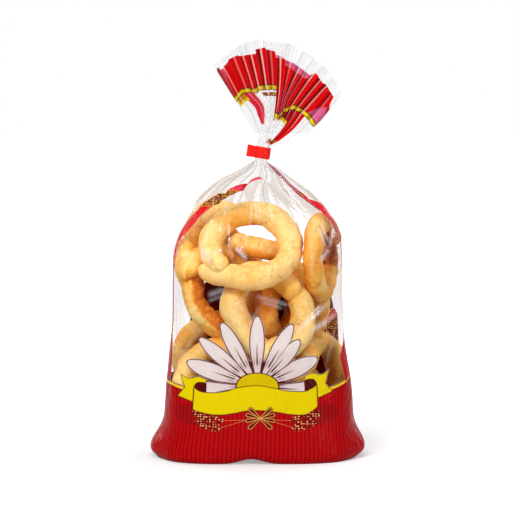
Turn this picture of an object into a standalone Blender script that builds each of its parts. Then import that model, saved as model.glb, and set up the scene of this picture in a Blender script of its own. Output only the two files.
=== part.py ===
"""A clear bag of ring biscuits, standing on its block bottom and tied at the neck.

Two solids make it up. The bag is one closed form: a flat base with two ears, the filled
pouch, pleated shoulders, the gathered neck and the ruffle of film above it. The tie is a
band of red tape round the neck, with its ends stuck together as a tab.
The sizes below are in millimetres. Everything becomes metres where the meshes are made.
"""

import math

import bmesh
import bpy

MM = 0.001

# Around the bag: vertices run from the right side round the back to the left side, then
# along the front. Each side of the bag has the same number of them.
SIDE_STEPS = 40
STEPS = 2 * SIDE_STEPS
FOLDS = 10

# The filled pouch, from the base up:
# height, left side, right side, half depth, squareness of the section.
POUCH = (
    (0.0, -63.0, 63.0, 37.0, 2.8),
    (2.5, -69.5, 69.0, 41.0, 2.8),
    (8.0, -73.0, 72.5, 43.5, 2.8),
    (24.0, -72.0, 72.5, 44.5, 2.8),
    (54.0, -69.5, 70.5, 45.0, 2.8),
    (88.0, -66.0, 64.5, 45.0, 2.8),
    (123.0, -64.5, 63.0, 44.5, 2.8),
    (156.0, -63.0, 63.6, 42.0, 2.7),
    (169.0, -59.5, 62.5, 38.0, 2.5),
    (185.0, -50.0, 54.0, 29.5, 2.3),
    (198.0, -43.0, 42.0, 21.5, 2.1),
    (208.0, -29.0, 31.0, 14.5, 2.0),
    (216.0, -12.0, 21.0, 9.5, 2.0),
    (224.0, -3.0, 10.0, 6.4, 2.0),
)
POUCH_ROWS = (
    0.0, 2.0, 5.0, 8.5, 13.0, 20.0, 30.0, 42.0, 55.0, 68.0, 82.0, 96.0, 110.0, 124.0,
    137.0, 149.0, 159.0, 168.0, 176.5, 184.0, 191.0, 197.5, 203.5, 209.5, 215.0, 219.5,
)
BASE_SCALES = (0.72, 0.36)

# The ears: the corners of the folded bottom, which stick out to the left and right.
EAR_REACH = 7.0
EAR_HEIGHT = 7.5
EAR_TOP = 36.0
EAR_NARROWNESS = 28

# The lower edge is drawn up a little at the middle of the front and of the back.
LIFT = 7.0
LIFT_X = -5.0
LIFT_SPREAD = 11.0
LIFT_TOP = 18.0

# Where a biscuit presses the film out: x, height, side (-1 front, 1 back), radius, push.
BULGES = (
    (-8.0, 172.0, -1, 34.0, 3.0),
    (-44.0, 128.0, -1, 24.0, 2.5),
    (40.0, 152.0, -1, 20.0, 2.5),
    (22.0, 116.0, -1, 26.0, 2.0),
    (48.0, 72.0, -1, 24.0, 3.0),
    (-46.0, 74.0, -1, 24.0, 2.5),
    (-2.0, 60.0, -1, 30.0, 2.0),
    (34.0, 24.0, -1, 28.0, 2.0),
    (-36.0, 22.0, -1, 28.0, 2.0),
    (14.0, 158.0, 1, 34.0, 3.0),
    (-34.0, 116.0, 1, 28.0, 2.5),
    (36.0, 92.0, 1, 28.0, 2.5),
    (-26.0, 48.0, 1, 30.0, 2.5),
    (34.0, 34.0, 1, 28.0, 2.0),
)

# The shoulders fall into pleats as the film is gathered to the neck.
PLEAT_START = 174.0
PLEAT_FULL = 214.0
PLEAT_DEPTH = 2.4

# The neck, under the tape. It leans to the right.
NECK_X = 3.2
NECK_HALF_WIDTH = 5.2
NECK_HALF_DEPTH = 5.0
NECK_LEAN = math.radians(9.0)
NECK_ROWS = (224.0, 227.5, 232.0, 236.5)
LEAN_START = 198.0

# The ruffle: a fan of film above the tape, opened round a centre in the neck.
FAN_X = 4.5
FAN_Z = 234.8
FAN_FROM = math.radians(33.5)
FAN_TO = math.radians(122.0)
FAN_SIDE_LENGTH = 70.5
FAN_MIDDLE_LENGTH = 80.0
FAN_LONGEST_AT = math.radians(92.0)
FAN_ROWS = (0.12, 0.21, 0.32, 0.44, 0.57, 0.71, 0.85, 1.0)
FAN_ROOT_HALF_DEPTH = 4.6
FAN_RIM_HALF_DEPTH = 8.0
FAN_PLEAT_DEPTH = 3.0

# The tape round the neck.
TIE_HEIGHT = 8.6
TIE_THICKNESS = 0.9
TIE_GAP = 0.3
TIE_MIDDLE = 230.2
TAB_END = -11.2
TAB_FORWARD = -2.8
TAB_HALF_THICKNESS = 0.7
TIE_POINTS = 40

# Where the print starts and stops, for the colours of the faces.
PRINT_TOP_MIDDLE = 52.0
PRINT_TOP_SIDE = 64.0
BAND_FROM = 0.5
BAND_TO = 0.9


def smooth_step(value, start, end):
    """0 before start, 1 after end, and an even curve between them."""
    share = min(max((value - start) / (end - start), 0.0), 1.0)
    return share * share * (3.0 - 2.0 * share)


def station(height):
    """The pouch's left side, right side, half depth and squareness at a height."""
    last = len(POUCH) - 1
    below = 0
    while below < last - 1 and POUCH[below + 1][0] < height:
        below += 1
    low, high = POUCH[below], POUCH[below + 1]
    before, after = POUCH[max(below - 1, 0)], POUCH[min(below + 2, last)]
    span = high[0] - low[0]
    share = (height - low[0]) / span
    values = []
    for column in range(1, 5):
        slope_low = span * (high[column] - before[column]) / (high[0] - before[0])
        slope_high = span * (after[column] - low[column]) / (after[0] - low[0])
        step = high[column] - low[column]
        values.append(
            low[column]
            + share * slope_low
            + share**2 * (3.0 * step - 2.0 * slope_low - slope_high)
            + share**3 * (slope_low + slope_high - 2.0 * step)
        )
    return values


def signed_power(value, power):
    return math.copysign(abs(value) ** power, value)


def ear(height, cosine):
    """How far an ear carries the side outwards."""
    if height < EAR_HEIGHT:
        rise = smooth_step(height, -2.0, EAR_HEIGHT)
    else:
        rise = (1.0 - smooth_step(height, EAR_HEIGHT, EAR_TOP)) ** 1.5
    return EAR_REACH * rise * signed_power(cosine, EAR_NARROWNESS)


def bulge(x, side, height):
    """How far the biscuits push the front or the back outwards here."""
    total = 0.0
    for centre_x, centre_z, centre_side, radius, push in BULGES:
        if side * centre_side > 0.0:
            distance = math.hypot(x - centre_x, height - centre_z) / radius
            total += push * abs(side) * math.exp(-2.0 * distance**2)
    return total


def pouch_row(height):
    """The points round the pouch at one height, from the right side by way of the back."""
    left, right, half_depth, squareness = station(height)
    middle = 0.5 * (left + right)
    half_width = 0.5 * (right - left)
    lean = NECK_LEAN * smooth_step(height, LEAN_START, NECK_ROWS[0])
    pleat = PLEAT_DEPTH * smooth_step(height, PLEAT_START, PLEAT_FULL)
    pleat *= 1.0 - 0.6 * smooth_step(height, PLEAT_FULL, NECK_ROWS[0])
    row = []
    for step in range(STEPS):
        angle = 2.0 * math.pi * step / STEPS
        cosine, sine = math.cos(angle), math.sin(angle)
        fold = pleat * math.cos(2.0 * FOLDS * angle)
        x = middle + (half_width + fold) * signed_power(cosine, 2.0 / squareness)
        x += ear(height, cosine)
        y = (half_depth + fold) * signed_power(sine, 2.0 / squareness)
        y += bulge(x, sine, height) * math.copysign(1.0, sine)
        spread = (x - LIFT_X) / LIFT_SPREAD
        lift = LIFT * abs(sine) ** 3 * math.exp(-spread**2) * (1.0 - smooth_step(height, 0.0, LIFT_TOP))
        z = height + lift - (x - middle) * math.tan(lean)
        row.append((x, y, z))
    return row


def neck_row(height):
    """The points round the neck, on an oval that leans with the neck."""
    row = []
    for step in range(STEPS):
        angle = 2.0 * math.pi * step / STEPS
        across = NECK_HALF_WIDTH * math.cos(angle)
        along = height - TIE_MIDDLE
        row.append(
            (
                NECK_X + across * math.cos(NECK_LEAN) + along * math.sin(NECK_LEAN),
                NECK_HALF_DEPTH * math.sin(angle),
                TIE_MIDDLE + along * math.cos(NECK_LEAN) - across * math.sin(NECK_LEAN),
            )
        )
    return row


def fan_length(direction):
    """How far the rim is from the fan's centre in this direction."""
    end = FAN_FROM if direction < FAN_LONGEST_AT else FAN_TO
    share = (direction - FAN_LONGEST_AT) / (end - FAN_LONGEST_AT)
    return FAN_MIDDLE_LENGTH + (FAN_SIDE_LENGTH - FAN_MIDDLE_LENGTH) * share**1.6


def fan_row(reach):
    """The points round the ruffle at one share of its length."""
    row = []
    for step in range(STEPS):
        side = 1.0 if step <= SIDE_STEPS else -1.0
        across = step / SIDE_STEPS if side > 0.0 else (STEPS - step) / SIDE_STEPS
        direction = FAN_FROM + across * (FAN_TO - FAN_FROM)
        closing = math.sqrt(max(1.0 - (2.0 * across - 1.0) ** 4, 0.0))
        depth = FAN_ROOT_HALF_DEPTH + reach * (FAN_RIM_HALF_DEPTH - FAN_ROOT_HALF_DEPTH)
        fold = FAN_PLEAT_DEPTH * reach**0.8 * math.cos(2.0 * math.pi * FOLDS * across)
        radius = reach * fan_length(direction)
        row.append(
            (
                FAN_X + radius * math.cos(direction),
                side * closing * (depth + fold),
                FAN_Z + radius * math.sin(direction),
            )
        )
    return row


def base_row(outline, scale):
    """A smaller copy of the base's outline, all at the bottom."""
    return [(x * scale, y * scale, 0.0) for x, y, _ in outline]


def join_rows(bm, lower, upper):
    for step in range(STEPS):
        after = (step + 1) % STEPS
        bm.faces.new((lower[step], lower[after], upper[after], upper[step]))


def printed(face):
    """Whether a face lies in the red print."""
    centre = face.calc_center_median() / MM
    if centre.z < TIE_MIDDLE:
        width = abs(centre.x) / -POUCH[1][1]
        return centre.z < PRINT_TOP_MIDDLE + (PRINT_TOP_SIDE - PRINT_TOP_MIDDLE) * width**2
    direction = math.atan2(centre.z - FAN_Z, centre.x - FAN_X)
    reach = math.hypot(centre.z - FAN_Z, centre.x - FAN_X) / fan_length(direction)
    return BAND_FROM < reach < BAND_TO


def material(name, colour, roughness, metallic=0.0):
    made = bpy.data.materials.new(name)
    made.use_nodes = True
    shader = made.node_tree.nodes["Principled BSDF"]
    shader.inputs["Base Color"].default_value = (*colour, 1.0)
    shader.inputs["Roughness"].default_value = roughness
    shader.inputs["Metallic"].default_value = metallic
    made.diffuse_color = (*colour, 1.0)
    return made


def make_bag(collection):
    """The bag lofted from its base to the rim of the ruffle, and closed at both ends."""
    outline = pouch_row(0.0)
    rows = [base_row(outline, scale) for scale in reversed(BASE_SCALES)]
    rows += [pouch_row(height) for height in POUCH_ROWS]
    rows += [neck_row(height) for height in NECK_ROWS]
    rows += [fan_row(reach) for reach in FAN_ROWS]
    bm = bmesh.new()
    rings = []
    for row in rows:
        rings.append([bm.verts.new((x * MM, y * MM, z * MM)) for x, y, z in row])
    for lower, upper in zip(rings, rings[1:]):
        join_rows(bm, lower, upper)
    centre = bm.verts.new((0.0, 0.0, 0.0))
    first = rings[0]
    for step in range(STEPS):
        bm.faces.new((first[(step + 1) % STEPS], first[step], centre))
    rim = rings[-1]
    for step in range(SIDE_STEPS):
        back = (rim[step], rim[step + 1])
        front = (rim[-step], rim[STEPS - step - 1])
        corners = [back[0], back[1], front[1], front[0]]
        bm.faces.new([corner for at, corner in enumerate(corners) if corner not in corners[:at]])
    bmesh.ops.triangulate(bm, faces=bm.faces)
    bmesh.ops.recalc_face_normals(bm, faces=bm.faces)
    for face in bm.faces:
        face.material_index = 1 if printed(face) else 0
    mesh = bpy.data.meshes.new("bag")
    bm.to_mesh(mesh)
    bm.free()
    mesh.materials.append(material("film over biscuits", (0.80, 0.62, 0.36), 0.25))
    mesh.materials.append(material("red print", (0.55, 0.01, 0.015), 0.3))
    mesh.shade_smooth()
    mesh.set_sharp_from_angle(angle=math.radians(50.0))
    bag = bpy.data.objects.new("bag", mesh)
    collection.objects.link(bag)
    return bag


def poly_spline(curve, points):
    spline = curve.splines.new("POLY")
    spline.points.add(len(points) - 1)
    for point, (x, y) in zip(spline.points, points):
        point.co = (x * MM, y * MM, 0.0, 1.0)
    spline.use_cyclic_u = True


def make_tie(collection):
    """The tape: a flat outline round the neck with a tab, thickened along the neck."""
    hole = (NECK_HALF_WIDTH + TIE_GAP, NECK_HALF_DEPTH + TIE_GAP)
    outer = (hole[0] + TIE_THICKNESS, hole[1] + TIE_THICKNESS)
    around = [2.0 * math.pi * step / TIE_POINTS for step in range(TIE_POINTS)]
    inner_line = [(hole[0] * math.cos(a), hole[1] * math.sin(a)) for a in around]
    tab_low = TAB_FORWARD - TAB_HALF_THICKNESS
    tab_high = TAB_FORWARD + TAB_HALF_THICKNESS
    outer_line = []
    for step in range(-TIE_POINTS // 2 + 2, TIE_POINTS // 2):
        angle = 2.0 * math.pi * step / TIE_POINTS
        x, y = outer[0] * math.cos(angle), outer[1] * math.sin(angle)
        if x > 0.0 or not tab_low - 1.5 < y < tab_high + 1.5:
            outer_line.append((x, y, angle))
    front_end = [(x, y) for x, y, angle in outer_line if angle < 0.0]
    back_end = [(x, y) for x, y, angle in outer_line if angle >= 0.0]
    tab = [(TAB_END, tab_high), (TAB_END - 0.3, TAB_FORWARD), (TAB_END, tab_low)]
    curve = bpy.data.curves.new("tie", "CURVE")
    curve.dimensions = "2D"
    curve.fill_mode = "BOTH"
    curve.extrude = 0.5 * TIE_HEIGHT * MM
    poly_spline(curve, front_end + back_end + tab)
    poly_spline(curve, inner_line)
    curve.materials.append(material("red tape", (0.80, 0.03, 0.01), 0.4))
    tie = bpy.data.objects.new("tie", curve)
    tie.location = (NECK_X * MM, 0.0, TIE_MIDDLE * MM)
    tie.rotation_euler = (0.0, NECK_LEAN, 0.0)
    collection.objects.link(tie)
    return tie


def main():
    for item in list(bpy.data.objects):
        bpy.data.objects.remove(item, do_unlink=True)
    collection = bpy.data.collections.new("bag of ring biscuits")
    bpy.context.scene.collection.children.link(collection)
    make_bag(collection)
    make_tie(collection)


main()
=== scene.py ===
"""A clear bag of ring biscuits on its block bottom, tied with red tape under a ruffle.

The film is one thin sheet, lofted on the same form as the solid bag and then drawn in over
the biscuits. Its print is drawn by its material on a map of the flat film. Every ring
biscuit is a piece of its own. Lengths are in millimetres until a mesh is made.
"""

import math

import bpy
import numpy as np
from mathutils import Euler, Matrix, Quaternion, Vector
from mathutils.bvhtree import BVHTree


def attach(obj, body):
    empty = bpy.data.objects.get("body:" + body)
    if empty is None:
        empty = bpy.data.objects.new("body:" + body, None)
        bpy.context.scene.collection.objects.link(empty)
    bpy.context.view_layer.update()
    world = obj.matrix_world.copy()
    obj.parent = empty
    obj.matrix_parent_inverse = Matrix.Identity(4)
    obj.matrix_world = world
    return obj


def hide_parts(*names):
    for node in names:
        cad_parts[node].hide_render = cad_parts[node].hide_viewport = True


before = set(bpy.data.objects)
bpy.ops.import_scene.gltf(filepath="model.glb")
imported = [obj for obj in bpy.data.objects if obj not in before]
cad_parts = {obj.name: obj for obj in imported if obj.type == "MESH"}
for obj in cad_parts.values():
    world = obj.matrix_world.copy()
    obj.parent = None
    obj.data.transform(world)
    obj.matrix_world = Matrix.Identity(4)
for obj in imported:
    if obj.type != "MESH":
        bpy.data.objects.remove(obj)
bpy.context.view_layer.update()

MM = 0.001
BODY = "root"
TURN = 2.0 * math.pi

# The camera, set by the scale and the framing of the photograph.
FRAME_PIXELS = 520
MM_PER_PIXEL = 0.757
CAMERA_DISTANCE = 1600.0
CAMERA_ELEVATION = math.radians(5.0)
CAMERA_TARGET = (1.5, 0.0, 149.0)

# The bag's form, as in the solid: height, left side, right side, half depth, squareness.
POUCH = (
    (0.0, -71.5, 69.5, 41.0, 3.4),
    (2.5, -75.0, 73.0, 43.5, 3.3),
    (8.0, -76.0, 75.0, 44.5, 3.1),
    (24.0, -73.5, 73.5, 44.8, 2.9),
    (54.0, -70.5, 71.5, 45.0, 2.8),
    (88.0, -66.8, 65.8, 45.0, 2.8),
    (123.0, -64.8, 63.8, 44.5, 2.8),
    (156.0, -63.3, 64.2, 42.0, 2.7),
    (169.0, -60.5, 63.0, 38.0, 2.5),
    (185.0, -51.8, 55.0, 29.5, 2.3),
    (198.0, -45.0, 44.5, 21.5, 2.1),
    (208.0, -31.5, 33.5, 14.5, 2.0),
    (216.0, -13.5, 22.5, 9.5, 2.0),
    (224.0, -3.0, 10.0, 6.4, 2.0),
)
EAR_REACH = 7.0
EAR_HEIGHT = 7.5
EAR_TOP = 36.0
EAR_NARROWNESS = 28
LIFT = 3.8
LIFT_X = -5.0
LIFT_SPREAD = 12.0
LIFT_TOP = 18.0
NECK_X = 3.2
NECK_HALF_WIDTH = 5.0
NECK_HALF_DEPTH = 4.8
NECK_LEAN = math.radians(9.0)
NECK_BOTTOM = 224.0
NECK_TOP = 236.5
LEAN_START = 198.0
TIE_MIDDLE = 230.2
FAN_X = 4.5
FAN_Z = 234.8
FAN_FROM = math.radians(33.5)
FAN_TO = math.radians(122.0)
FAN_SAG = math.radians(42.0)
FAN_SIDE_LENGTH = 70.5
FAN_MIDDLE_LENGTH = 80.0
FAN_LONGEST_AT = math.radians(92.0)
FAN_ROOT = 0.12
FAN_ROOT_HALF_DEPTH = 4.6
FAN_RIM_HALF_DEPTH = 8.0

# The film: its girth, its grid, and the map of the flat film that the print is drawn on.
GIRTH = 350.0
COLUMNS = 384
BASE_STEPS = 10
POUCH_STEPS = 144
NECK_STEPS = 6
ROOT_STEPS = 5
FAN_STEPS = 54
FILM_GAP = 0.5
FREE_LEVEL = -0.6
SLACK = 0.002
DRAPE_STEPS = 420
MAP_SPAN = 800.0
FAN_MAP_START = 240.0
BASE_MAP_START = -40.0
NECK_ROUND = 31.0
# Rows of the grid: the walls above the base, and the neck.
WALLS = slice(BASE_STEPS, BASE_STEPS - 1 + POUCH_STEPS)
NECK = slice(WALLS.stop, WALLS.stop + NECK_STEPS)

# Pleats of the shoulders and of the ruffle.
SHOULDER_PLEATS = 15
PLEAT_FROM = (168.0, 200.0)
BACK_PLEATS = 11
# Folds of the ruffle's front, from the right: place across, and strength of its painted highlight and
# shade.
FAN_FOLDS = (
    (0.0, 0.0), (0.055, 0.35), (0.112, 0.9), (0.170, 0.8), (0.238, 0.9), (0.295, 0.3),
    (0.349, 0.9), (0.440, 0.3), (0.535, 0.95), (0.600, 0.3), (0.665, 1.0), (0.735, 0.9),
    (0.790, 0.6), (0.850, 0.3), (0.945, 0.45), (1.0, 0.0),
)
FAN_LEAN = 0.011
FAN_SKEW = (0.26, -0.10)

# Painted highlights where folds of the front film catch the light: x and z of both ends, half width,
# strength.
STREAKS = (
    (-5.2, 192.0, -4.8, 181.0, 0.6, 0.6),
    (-1.6, 195.0, -1.2, 181.0, 0.6, 0.6),
    (0.6, 194.0, 1.4, 180.0, 0.5, 0.5),
    (9.6, 190.0, 10.8, 180.0, 0.6, 0.3),
    (-16.8, 162.4, -8.0, 153.0, 1.3, 1.0),
    (-13.6, 163.0, -9.4, 159.4, 0.5, 0.55),
    (-41.0, 162.4, -40.2, 150.6, 1.6, 0.75),
    (-37.6, 160.6, -36.0, 149.4, 1.5, 0.7),
    (-34.0, 156.2, -26.2, 160.0, 1.3, 0.7),
    (44.4, 175.6, 51.0, 160.6, 0.9, 0.7),
    (46.6, 179.0, 52.8, 163.6, 0.9, 0.65),
    (57.4, 176.0, 53.0, 160.4, 1.3, 0.75),
    (53.0, 160.4, 46.2, 150.8, 1.6, 0.7),
    (54.8, 122.0, 26.8, 98.0, 1.5, 0.6),
    (47.6, 119.6, 36.4, 109.2, 0.9, 0.65),
    (60.4, 112.4, 38.6, 99.0, 1.8, 0.6),
    (-37.6, 126.0, -24.2, 131.2, 1.8, 0.36),
    (-37.2, 122.0, -25.2, 126.2, 1.0, 0.3),
    (-2.2, 126.2, 24.2, 119.0, 1.0, 0.38),
    (1.8, 122.4, 18.6, 116.6, 1.0, 0.38),
)

# The ruffle's print: place across low down and at the rim (0 right, 1 left), foot and top.
FAN_PRINT = (
    (0.000, 0.000, 41.0, 56.0),
    (0.030, 0.030, 40.0, 60.0),
    (0.036, 0.040, 39.8, 64.4),
    (0.090, 0.088, 39.2, 64.8),
    (0.112, 0.119, 38.3, 66.0),
    (0.140, 0.141, 37.5, 64.6),
    (0.205, 0.205, 36.0, 67.0),
    (0.221, 0.230, 35.3, 67.2),
    (0.238, 0.243, 34.4, 66.6),
    (0.246, 0.248, 33.8, 59.5),
    (0.300, 0.300, 30.6, 60.3),
    (0.370, 0.340, 24.2, 61.0),
    (0.500, 0.491, 22.4, 63.7),
    (0.508, 0.500, 22.4, 67.8),
    (0.556, 0.577, 23.4, 67.4),
    (0.565, 0.582, 44.2, 71.8),
    (0.660, 0.653, 43.5, 74.4),
    (0.766, 0.703, 43.2, 72.4),
    (0.772, 0.709, 42.0, 69.8),
    (0.800, 0.790, 41.4, 70.0),
    (0.824, 0.824, 42.5, 71.6),
    (0.866, 0.866, 43.6, 70.9),
    (0.902, 0.902, 44.0, 69.4),
    (0.940, 0.940, 42.8, 67.5),
    (0.962, 0.962, 41.4, 66.0),
    (0.986, 0.986, 41.0, 69.2),
    (1.000, 1.000, 40.0, 68.0),
)
FAN_BAND = (41.0, 66.0, 75.0)
BAND_LOW = FAN_MAP_START + FAN_BAND[0]
BACK_BAND = (
    (0.0, 56.0), (0.05, 57.8), (0.12, 62.0), (0.25, 63.6),
    (0.36, 65.6), (0.51, 67.6), (0.56, 69.6), (1.0, 66.0),
)
BACK_BAND_FOOT = 46.0

# The ring biscuits: place, turn and size of each one.
# x, y, z of its middle; pitch (90 faces the front, 0 lies flat), yaw (to the right), spin of
# the joint; ring radius, strand radius; tone (0 pale, 1 brown); how firmly it keeps its place.
RINGS = {
    "ring_front": (-5.0, -15.5, 161.0, 50.0, 0.0, 201.0, 30.0, 9.2, 0.02, 1.0),
    "ring_left": (-23.5, -4.0, 126.5, 75.0, 33.0, 121.0, 29.5, 9.3, 0.36, 1.0),
    "ring_left_back": (-24.0, 21.0, 161.0, 97.0, -4.0, 72.0, 25.4, 8.4, 0.44, 1.0),
    "ring_right": (47.6, 2.0, 150.5, 90.0, 74.0, 20.0, 25.8, 7.9, 0.50, 1.0),
    "ring_middle": (7.3, -24.0, 112.3, 66.0, 2.0, 24.0, 24.3, 9.5, 0.12, 1.0),
    "ring_inner": (17.0, 6.5, 110.0, 88.0, 60.0, 60.0, 21.5, 9.3, 0.85, 1.0),
    "ring_piece": (-2.0, 27.0, 158.4, 13.0, 90.0, 132.0, 30.0, 8.1, 0.42, 1.0),
    "ring_lower_right": (46.0, -4.0, 58.0, 90.0, 63.0, 200.0, 29.0, 8.8, 0.42, 1.0),
    "ring_lower_left": (-26.0, -23.0, 55.0, 86.0, 3.0, 330.0, 30.0, 8.8, 0.32, 1.0),
    "ring_lower_middle": (6.0, 0.0, 48.0, 86.0, 4.0, 90.0, 28.0, 8.8, 0.50, 0.3),
    "ring_back_left": (-30.0, 27.0, 74.0, 88.0, 10.0, 45.0, 28.0, 8.8, 0.40, 0.1),
    "ring_back_right": (22.0, 24.5, 113.0, 92.0, -10.0, 10.0, 25.5, 8.6, 0.62, 1.0),
    "ring_low_back": (14.0, 28.0, 40.0, 80.0, 4.0, 300.0, 28.0, 8.8, 0.35, 0.1),
}
BROKEN = ("ring_left_back", "ring_piece")

# Which end lies on top at the joint (1 first, -1 last), how far outward the first end and the
# last one lie, the ring's height against its width, and how far the ends overlap, as an angle.
# Below zero the ring is broken, and the angle is what is missing of it.
PLAIN_JOINT = (1.0, -2.8, 2.3, 1.0, 0.52)
JOINTS = {
    "ring_front": (-1.0, 8.0, 0.2, 1.0, 0.58),
    "ring_left": (-1.0, 15.0, 9.2, 1.0, 0.84),
    "ring_left_back": (1.0, 0.0, 0.0, 1.0, -2.35),
    "ring_middle": (1.0, -1.6, 2.6, 1.3, 0.50),
    "ring_piece": (1.0, 0.0, 0.0, 1.0, -4.6),
}
# Rings with a torn and browned stretch, and the angle from the joint to it, in degrees.
TORN = {"ring_left": 84.0, "ring_right": 6.0}
RING_SOCKETS = {
    "Ring Radius": 30.0, "Strand Radius": 9.0, "Overlap": 0.5, "Top End": 1.0, "First Aside": -2.8,
    "Last Aside": 2.3, "Oval": 1.0, "Tear": 0.0, "Tear Turn": 0.0, "Seed": 0.0,
}
JOINT_SOCKETS = ("Top End", "First Aside", "Last Aside", "Oval", "Overlap")
BEADS = 24
SETTLE_STEPS = 320
RING_STEPS = 168
STRAND_STEPS = 34

# The print, in millimetres on the map of the flat film.
STRIPE_PITCH = 2.79
PANEL_X = 6.0
PANEL_HALF_WIDTH = 58.0
PANEL_TOP = 139.0
PANEL_SQUARE = 70.0
PRINT_LINE = 0.62
# How the strip up each side widens: from one height to another, and by how much.
STRIP_WIDTHS = ((72.0, 104.0, -4.8), (188.0, 200.0, -0.8), (234.0, 243.0, 4.0), (250.0, 258.0, -1.9))
FLOWER_PLACE = (-0.7, 59.2)
DISC_HALF = (14.8, 10.2)
# The flower's petals, from the right: the turn of each one in degrees, and its length.
PETALS = (
    (-6.0, 46.0),
    (25.5, 47.8),
    (48.3, 46.2),
    (60.8, 53.2),
    (89.0, 52.7),
    (117.6, 53.5),
    (138.8, 54.1),
    (160.8, 52.8),
    (189.0, 46.0),
)
PETAL_TURNS = (-18.0, 216.0)
LOW_PETAL_SLOPE = 0.105
PETAL_SPAN = 60.0
PETAL_HALF_WIDTH = 5.5
PETAL_LINE = 0.8
PETAL_OUTLINE = (
    (0.0, 0.30), (0.27, 0.57), (0.45, 0.88), (0.60, 1.0),
    (0.76, 0.93), (0.88, 0.70), (0.95, 0.46), (1.0, 0.0),
)
BANNER_X = -1.95
BANNER_HALF_WIDTH = 42.0
BANNER_TOP = (
    (0.0, 0.86), (0.12, 0.15), (0.25, 0.27), (0.37, 0.62), (0.51, 0.76),
    (0.63, 0.59), (0.78, 0.28), (0.87, 0.24), (0.94, 0.43), (1.0, 0.86),
)
BANNER_BOTTOM = (
    (0.0, 0.45), (0.10, 0.22), (0.20, 0.12), (0.32, 0.22), (0.44, 0.41), (0.54, 0.43),
    (0.66, 0.32), (0.78, 0.14), (0.87, 0.09), (0.94, 0.30), (1.0, 0.74),
)
TAIL_FOOT = 33.0
TAIL_TOP = (
    (0.0, 0.30), (0.15, 0.55), (0.35, 0.70), (0.50, 0.55), (0.65, 0.50), (0.90, 0.90), (1.0, 1.0),
)
# Ears of grain: the foot and the tip of each one, to both sides of the bow.
EARS = ((22.5, 33.2, 42.6, 38.6), (24.0, 27.4, 39.6, 32.6))
STEM_START = (7.0, 34.0)
STEM_ENDS = ((22.5, 33.4), (24.0, 27.9))
# Ribbons of the bow: how far each one is turned up, and its length.
BOW_PLACE = (1.3, 35.2)
BOW = ((46.0, 10.6), (17.0, 9.8), (-12.0, 9.6), (-46.0, 10.6))

# Colours, as seen in the photograph.
RED = (182, 5, 11)
STRIPE_RED = (124, 2, 8)
FAN_RED = (206, 8, 12)
# Painted shade beside each fold of the ruffle.
FOLD_SHADE_RED = (92, 0, 4)
MAROON = (78, 10, 10)
YELLOW = (218, 194, 0)
DISC_YELLOW = (202, 174, 0)
LINE_YELLOW = (236, 186, 34)
PETAL = (218, 205, 202)
PETAL_SHADE = (186, 150, 152)
GOLD = (212, 148, 74)
SEED_GOLD = (250, 196, 128)
SIDE_GOLD = (226, 154, 44)
# The print's reverse low inside the bag, painted dark as painted shade.
SHADED_INSIDE_RED = (70, 8, 12)
REVERSE = (208, 90, 138)
FOLD_PINK = (220, 62, 84)
# Painted highlight on the film's folds and creases.
GLEAM = (255, 214, 206)
TAPE_RED = (242, 20, 4)
TAPE_WORN = (222, 14, 4)
DOUGH_PALE = (252, 216, 140)
DOUGH_GOLD = (248, 184, 78)
DOUGH_BROWN = (218, 120, 20)
DOUGH_DARK = (134, 56, 8)
# How browned the dough is, with its painted shade, where each colour starts and where it is full.
DOUGH_SHADES = ((-0.05, 0.40, DOUGH_GOLD), (0.32, 0.92, DOUGH_BROWN), (0.90, 1.5, DOUGH_DARK))

TAPE_HALF_HEIGHT = 4.3
# The lights: name, place in metres, size, and power in watts.
LIGHTS = (
    ("key", (-0.45, -0.9, 0.95), (0.45, 0.45), 13.0),
    ("fill", (0.9, -0.9, 0.4), (0.25, 0.9), 4.4),
    ("top", (0.1, 0.1, 1.3), (0.7, 0.7), 7.0),
    ("behind_left", (-0.8, 0.7, 0.5), (0.2, 0.8), 3.0),
    ("behind_right", (0.8, 0.7, 0.5), (0.2, 0.8), 3.0),
)


def linear(colour):
    """A colour of 0 to 255 as the four linear numbers that a socket takes."""
    parts = [part / 255.0 for part in colour]
    return (*[p / 12.92 if p <= 0.04045 else ((p + 0.055) / 1.055) ** 2.4 for p in parts], 1.0)


def smooth_step(value, start, end):
    """0 before start, 1 after end, and an even curve between them."""
    share = np.clip((value - start) / (end - start), 0.0, 1.0)
    return share * share * (3.0 - 2.0 * share)


def signed_power(value, power):
    return np.copysign(np.abs(value) ** power, value)


def soft_field(shape, row_length, column_length, seed):
    """A smooth random field over the film's grid, with no seam, that varies by about 1."""
    rng = np.random.default_rng(seed)
    rows = np.fft.fftfreq(shape[0])[:, None] * row_length
    columns = np.fft.fftfreq(shape[1])[None, :] * column_length
    filtered = np.fft.fft2(rng.normal(size=shape)) * np.exp(-2.0 * (rows**2 + columns**2))
    field = np.fft.ifft2(filtered).real
    return field / field.std()


def new_object(name, mesh):
    item = bpy.data.objects.new(name, mesh)
    bpy.context.collection.objects.link(item)
    return item


# The bag's form.


def station(height):
    """The pouch's left side, right side, half depth and squareness at a height."""
    last = len(POUCH) - 1
    below = 0
    while below < last - 1 and POUCH[below + 1][0] < height:
        below += 1
    low, high = np.array(POUCH[below]), np.array(POUCH[below + 1])
    before = np.array(POUCH[max(below - 1, 0)])
    after = np.array(POUCH[min(below + 2, last)])
    span = high[0] - low[0]
    share = (height - low[0]) / span
    slope_low = span * (high - before) / (high[0] - before[0])
    slope_high = span * (after - low) / (after[0] - low[0])
    step = high - low
    values = (
        low
        + share * slope_low
        + share**2 * (3.0 * step - 2.0 * slope_low - slope_high)
        + share**3 * (slope_low + slope_high - 2.0 * step)
    )
    return values[1:]


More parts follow.
